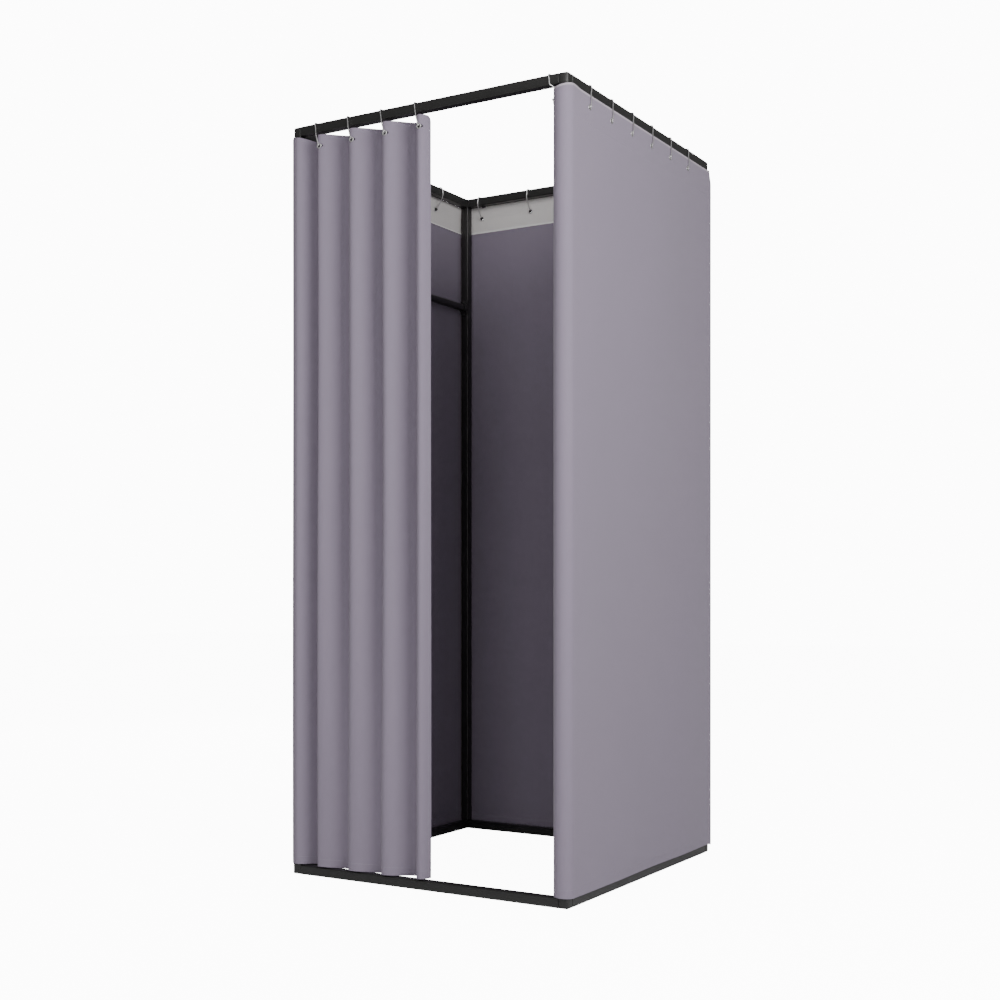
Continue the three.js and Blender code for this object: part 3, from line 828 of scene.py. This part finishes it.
def wallHeight(s, z):
    # the return's edges step to the walls' heights as it curls, the right wall's top hangs lower and its hem
    # higher, and the left wall's top dips before the rear corner
    eyeletStep = wallEyelet - doorEyelet
    step = eyeletStep * ease(z, *(wallTop - below for below in hang["eyeletStep"]))
    step = step + (wallTop - doorTop - eyeletStep) * ease(z, wallTop - hang["edgeStep"], wallTop)
    step = step - (doorHem - wallHem) * (1 - ease(z, wallHem, wallHem + hang["hemStep"]))
    a, b, c, d = (leftStart + past for past in hang["dipSteps"])
    dip = ease(s, a, b) - ease(s, c, d)
    right = ease(s, *hang["steps"]) - ease(s, rearStart - hang["rightFade"], rearStart)
    low = hang["leftDip"] * dip + hang["rightDrop"] * right
    low = low * ease(z, wallTop - hang["dropOver"], wallTop)
    low = low - hang["rightRise"] * right * (1 - ease(z, wallHem, wallHem + hang["riseOver"]))
    return z - step * (1 - ease(s, *hang["steps"])) - low


def wallPlan(s, z):
    x, y, nx, ny = followPlan(wallParts, wallFrom, 90 - cloth["returnTurn"], s)
    lap = ease(s, *(wallLength - before for before in hang["lapSteps"]))
    height, run = hang["leanOver"]
    pulled = ease(z, wallTop - height, wallTop) * ease(s, rightStart, rightStart + run)
    out = wallBillow(s, z) - hang["lapIn"] * lap - hang["topLean"] * pulled * (1 - lap / 2)
    return x + out * nx, y + out * ny, wallHeight(s, z), nx, ny, s


# (node, place along the cloth, rail normal, lean along the rail) for every ring of the walls
returnPlace = radians(cloth["returnTurn"] - returnRing["eyeletTurn"]) * returnBend
ringPlaces = [("ring_return", returnPlace, (0, -1), None)]
for k in range(sideRings["count"]):
    y = sideRings["margin"] - halfDepth + k * sideRings["pitch"]
    right = rightStart + y - (returnBend - clothY)
    left = leftStart + (clothY - rearBend) - y
    ringPlaces.append((f"ring_right_{k + 1}", right, (1, 0), sideRings["rightLean"]))
    ringPlaces.append((f"ring_left_{k + 1}", left, (-1, 0), sideRings["leftLean"]))
for k in range(rearRings["count"]):
    x = (k - (rearRings["count"] - 1) / 2) * rearRings["pitch"]
    place = rearStart + (clothX - rearBend) - x
    ringPlaces.append((f"ring_rear_{k + 1}", place, (0, 1), rearRings["lean"]))
ringPlaces.sort(key=lambda row: row[1])


def wallStops(first, last):
    # stops at the ends of bends and at the eyelets, with more columns in the bends
    near = 1e-5
    arcs = [(0, returnArc), (rearStart - rearArc, rearStart), (leftStart - rearArc, leftStart)]
    places = {round(place, 6): False for arc in arcs for place in arc}
    places.update({round(row[1], 6): True for row in ringPlaces if first < row[1] < last})
    places.update({round(first, 6): False, round(last, 6): False})
    line = sorted(place for place in places if first - near < place < last + near)
    stops = []
    for place, after in zip(line, line[1:] + line[-1:]):
        bent = any(a - near <= place < b - near for a, b in arcs)
        step = hang["bendColumn" if bent else "flatColumn"]
        stops.append((place, places[place], max(1, ceil((after - place) / step)), "even"))
    return stops


wallHemLines = (wallHem + cloth["bottomHem"], wallTop - cloth["topHem"])
wallRows = clothRows(wallHem, wallTop, hang["rows"], wallHemLines, wallEyelet)
wallCurtain = clothPiece(
    "wall_cloth", wallPlan, wallStops(0, wallLength), wallRows, wallEyelet,
    lilacCloth, "root", wallHemLines,
    nodes=["wall_curtain_" + side for side in ("return", "right", "rear", "left")],
)

bandHemLines = (bandLow + heading["hem"], wallTop + cloth["topHem"])  # it has no hem at its top
bandRows = clothRows(bandLow, wallTop - heading["drop"], 12, bandHemLines[:1], wallEyelet)
bandStops = wallStops(rightStart + heading["short"], wallLength - heading["short"])
band = clothPiece(
    "heading_band", wallPlan, bandStops, bandRows, wallEyelet, paleCloth, "root",
    bandHemLines, behind=cloth["thickness"] + cloth["foldedEdge"],
)
edge = stitch["fromEdge"]
hemLines = sewAlong(wallPlan, edge, wallLength - stitch["fromLap"], stitchRows(wallHemLines))
wallStitches = sewnLines("wall_stitches", hemLines, "root")
bandLine = sewAlong(wallPlan, rightStart + edge, wallLength - edge, [bandLow + heading["seam"]])
bandStitches = sewnLines("band_stitches", bandLine, "root")
print("wall cloth made")


def hookOn(plan, p, z):
    # the (x, y, z) of one place on the cloth, and its outward (x, y)
    return [float(v[0]) for v in plan(np.array([p]), np.array([z]))[:5]]


eyeletShells, claspShells = [], []
for node, place, rail, lean in ringPlaces:
    hook = hookOn(wallPlan, place, wallEyelet)
    if lean is None:
        lining, path = 0, (hook, doorTop, rail, hook[0] - returnRing["railX"], 0.0, True)
    else:
        lining, path = eyelet["lining"], (hook, wallTop, rail, lean, hang["topLean"])
    eyeletShells.append(eyeletShell(hook[:3], hook[3:], halfCloth, halfCloth + lining))
    claspShells.append(addRing(node, "root", *path))
makePiece("wall_eyelets", eyeletShells, brightWire, "root", 50)
makePiece("wall_ring_clasps", claspShells, mouldedPlastic, "root", 60)
print("wall rings made")

# the door curtain
folds = dict(
    rings=4, firstX=-0.3235, pitch=0.106, depths=(0.060, 0.058, 0.060, 0.062),
    topShare=0.95,  # of each depth at the top edge, and at the hem
    hemShares=(0.85, 0.50, 0.58, 0.80),
    topOver=(0.0, 0.2),  # shares of the way down where they take hold
    hemOver=(0.45, 1.0), wander=((0.035, 2.6, 1.7, 0.0), (0.015, 6.1, 2.3, 0.0)),
    wanderOver=(0.03, 0.3),
    square=0.25,  # 0 is a plain wave, and nearer 1 gives rounder ridges
    lean=0.45,  # of a valley to the next ridge, as a share of half a fold
    sway=0.0022, swayWaves=((1.0, 7.0, 2.2, 0.0), (0.5, 19.0, -3.1, 1.0)), swayOver=(0.02, 0.5),
    columns=34, rows=70,
    topRises=(-0.0055, 0.0008, 0.0008, 0.0008),  # each valley's top edge above the cloth's
    cornerRise=0.004,  # and the corner's
    hemRise=0.0025,  # ridge's hem above the flat cloth's, and the valley's below it
    hemSink=0.0013,
    topReach=0.024,  # the heights that these take up at the top and at the hem
    hemReach=0.12, ringLean=0.019, leadReach=0.018, leadCurl=0.028,
    leadTurn=60,  # degrees
    leadCorner=0.013, leadCornerOver=0.05,
)
cornerRidge = -clothX + leftBend
doorHeight = doorTop - doorHem
leadX = folds["firstX"] + (folds["rings"] - 1) * folds["pitch"]


def foldDepthAt(number, z):
    # a valley's own depth, less at the top edge and the hem, wandering slowly between them
    fall = (doorTop - z) / doorHeight
    share = folds["topShare"] + (1 - folds["topShare"]) * ease(fall, *folds["topOver"])
    share = share - (1 - folds["hemShares"][number]) * ease(fall, *folds["hemOver"])
    wander = waves(folds["wander"], z, number) * ease(fall, *folds["wanderOver"])
    return folds["depths"][number] * (share + wander)


def sway(x, z):
    # the cloth leans in and out a little on its way down, the same at every seam
    fall = ease((doorTop - z) / doorHeight, *folds["swayOver"])
    return folds["sway"] * fall * waves(folds["swayWaves"], x, z)


def edgeHeight(z, ridge, rise):
    # ridge is 1 on a ridge and 0 in a valley, which hangs lower at the hem. rise is for the top edge.
    top = rise * ease(z, doorTop - folds["topReach"], doorTop)
    low = folds["hemRise"] * ridge - folds["hemSink"] * (1 - ridge)
    return z + top + low * (1 - ease(z, doorHem, doorHem + folds["hemReach"]))


def foldPlan(number, ridgeX, half):
    # t is 0 at a ridge, 1 at the valley and 2 at the next ridge:
    # x = ridge + half (t + square sin(2 pi t) / 2 pi) + lean (1 - cos pi t) / 2
    # y = front + depth (1 - cos pi t) / 2
    lean, square = folds["lean"] * half, folds["square"]

    def position(t, z):
        depth = foldDepthAt(number, z)
        inward = (1 - np.cos(pi * t)) / 2
        x = ridgeX + half * (t + square * np.sin(2 * pi * t) / (2 * pi)) + lean * inward
        dx = half * (1 + square * np.cos(2 * pi * t)) + lean * pi / 2 * np.sin(pi * t)
        dy = depth * pi / 2 * np.sin(pi * t)
        return x, -clothY + depth * inward, dx, dy

    dense = np.linspace(0, 2, 2001)
    x, y, _, _ = position(dense, np.full_like(dense, 1.0))
    length = np.concatenate([[0], np.cumsum(np.hypot(np.diff(x), np.diff(y)))])

    def plan(t, z):
        x, y, dx, dy = position(t, z)
        size = np.hypot(dx, dy)
        s = np.interp(t, dense, length)
        ridge = (1 + np.cos(pi * t)) / 2
        rise = folds["topRises"][number] * (1 - ridge)
        if number == 0:
            rise = rise + folds["cornerRise"] * ridge * (t < 1)
        return x, y + sway(x, z), edgeHeight(z, ridge, rise), dy / size, -dx / size, s

    return plan, length[1000], length[-1]


doorHemLines = (doorHem + cloth["bottomHem"], doorTop - cloth["topHem"])
doorRows = clothRows(doorHem, doorTop, folds["rows"], doorHemLines, doorEyelet)
doorSeams = stitchRows(doorHemLines)


def doorSheet(name, plan, stops, body, *nodes):
    return clothPiece(
        name, plan, stops, doorRows, doorEyelet, lilacCloth, body, doorHemLines, nodes=nodes
    )


cornerParts = [(cloth["lap"], 0), (pi / 2 * leftBend, 90)]
cornerLength = sum(length for length, _ in cornerParts)


def cornerPlan(s, z):
    x, y, nx, ny = followPlan(cornerParts, (-clothX, leftEnd + cloth["lap"]), -90, s)
    rise = folds["cornerRise"] * ease(s, 0.0, cloth["lap"] + 0.01)
    return x, y + sway(x, z) * ease(s, cloth["lap"], cornerLength), edgeHeight(z, 1.0, rise), nx, ny, s


cornerSteps = ((0, 6), (cloth["lap"], 26), (cornerLength, 0))
cornerStops = [(place, False, count, "even") for place, count in cornerSteps]
cornerSheet = doorSheet("door_cloth_corner", cornerPlan, cornerStops, "root", "door_curtain_corner")
edge = stitch["fromEdge"]
cornerLines = sewAlong(cornerPlan, stitch["fromEnd"], cornerLength, doorSeams)
cornerLines += sewUp(cornerPlan, stitch["sideSeam"], doorHem + edge, doorTop - edge)
cornerStitches = sewnLines("door_stitches_corner", cornerLines, "root")

bodies = ["root"]
for k in range(folds["rings"]):
    bodies += [f"valley_{k + 1}", f"ridge_{k + 1}"]
    ringX = folds["firstX"] + k * folds["pitch"]
    half = (folds["firstX"] - cornerRidge) / 2 if k == 0 else folds["pitch"] / 2
    ridgeX = ringX - 2 * half
    plan, toValley, whole = foldPlan(k, ridgeX, half)
    for flank, kind, node in ((0, "fall", "valley"), (1, "rise", "ridge")):
        stops = [(flank, not flank and k > 0, folds["columns"], "cosine"), (flank + 1, flank > 0, 0, "even")]
        sheet = doorSheet(f"door_cloth_{kind}_{k + 1}", plan, stops, None, f"door_curtain_{node}_{k + 1}")
        lines = sewAlong(plan, flank + stitch["fromEnd"], flank + 1 - stitch["fromEnd"], doorSeams)
        seams = sewnLines(f"door_stitches_{kind}_{k + 1}", lines, None)
        for piece in (sheet, seams):
            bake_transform(piece)
    body = f"ridge_{k + 1}"
    place = hookOn(plan, 2.0, doorEyelet)[:3]
    shell = eyeletShell(place, (0, -1), halfCloth, halfCloth)
    makePiece(f"door_eyelet_{k + 1}", [shell], brightWire, body, 50)
    clasp = addRing(f"ring_door_{k + 1}", body, (*place, 0, -1), doorTop, (0, -1), folds["ringLean"])
    makePiece(f"door_ring_clasp_{k + 1}", [clasp], mouldedPlastic, body, 60)
print("door folds made")


leadEnd = radians(folds["leadTurn"])


def leadPlan(angle, z):
    # the free edge curls inward on an ellipse: x = ring + reach sin a, y = front + curl (1 - cos a),
    # and its top corner is rounded off along a quarter circle
    reach, curl = folds["leadReach"] / sin(leadEnd), folds["leadCurl"] / (1 - cos(leadEnd))
    dense = np.linspace(0, leadEnd, 400)
    pace = np.hypot(reach * np.cos(dense[1:]), curl * np.sin(dense[1:])) * dense[1]
    length = np.concatenate([[0], np.cumsum(pace)])
    s = np.interp(angle, dense, length)
    x = leadX + reach * np.sin(angle)
    y = -clothY + curl * (1 - np.cos(angle))
    dx, dy = reach * np.cos(angle), curl * np.sin(angle)
    size = np.hypot(dx, dy)
    roundness = folds["leadCorner"]
    past = np.clip((s - (length[-1] - roundness)) / roundness, 0, 1)
    drop = roundness * (1 - np.sqrt(1 - past**2))
    drop = drop * ease(z, doorTop - folds["leadCornerOver"], doorTop)
    return x, y + sway(x, z), edgeHeight(z, 1.0, 0.0) - drop, dy / size, -dx / size, s


leadStops = [(0.0, True, 24, "even"), (leadEnd, False, 0, "even")]
leadSheet = doorSheet("door_cloth_lead", leadPlan, leadStops, "ridge_4")
short, topShort = stitch["leadShort"]
leadLines = sewAlong(leadPlan, stitch["fromEnd"], leadEnd - short, doorSeams)
leadLines += sewUp(leadPlan, leadEnd * stitch["leadSeam"], doorHem + edge, doorTop - topShort)
leadStitches = sewnLines("door_stitches_lead", leadLines, "ridge_4")
print("door curtain made")

# stage and light
def addLamp(name, place, target, size, power):
    lampData = bpy.data.lights.new(name, "AREA")
    lampData.size = size
    lampData.energy = power
    lamp = addObject(name, lampData)
    x, y, z = unit(np.array([target], float) - place)[0]
    lamp.location = place
    lamp.rotation_euler = (acos(-z), 0, atan2(y, x) - pi / 2)


stage = dict(floor=14.0, under=0.0004, floorGlow=11.5, background=12.0, ambient=0.22)
mesh = bpy.data.meshes.new("floor")
s, z = stage["floor"], -stage["under"]
mesh.from_pydata([(-s, -s, z), (s, -s, z), (s, s, z), (-s, s, z)], [], [range(4)])
material, tree, shader = nodeTree(
    "floorPaint", Base_Color=(0.86, 0.86, 0.86, 1), Roughness=0.9,
    Specular_IOR_Level=0.1, Emission_Color=(1, 1, 1, 1),
)
glow = addNode(tree, "Math", operation="MULTIPLY")
glow.inputs[1].default_value = stage["floorGlow"]
path = addNode(tree, "LightPath")
joinNodes(tree, (path, "Is Camera Ray", glow, 0), (glow, "Value", shader, "Emission Strength"))
mesh.materials.append(material)
addObject("floor", mesh)

world = bpy.data.worlds.new("studio")
bpy.context.scene.world = world
world.use_nodes = True
tree = world.node_tree
sky = tree.nodes["Background"]
sky.inputs["Color"].default_value = (1, 1, 1, 1)
level = addNode(tree, "MapRange", To_Min=stage["ambient"], To_Max=stage["background"])
path = addNode(tree, "LightPath")
joinNodes(tree, (path, "Is Camera Ray", level, "Value"), (level, "Result", sky, "Strength"))

addLamp("keyLight", (2.35, -1.3, 2.2), (0.3, 0, 1.2), 1.5, 66.0)
addLamp("doorLight", (2.0, -4.4, 1.5), (0, 0.4, 0.9), 2.0, 58.0)
addLamp("highLight", (0.3, -3.2, 3.6), (0, 0, 1.4), 1.6, 21.0)
addLamp("backLight", (-3.2, 2.8, 2.4), (0, 0, 1.0), 2.4, 80.0)
print("stage and lights set")
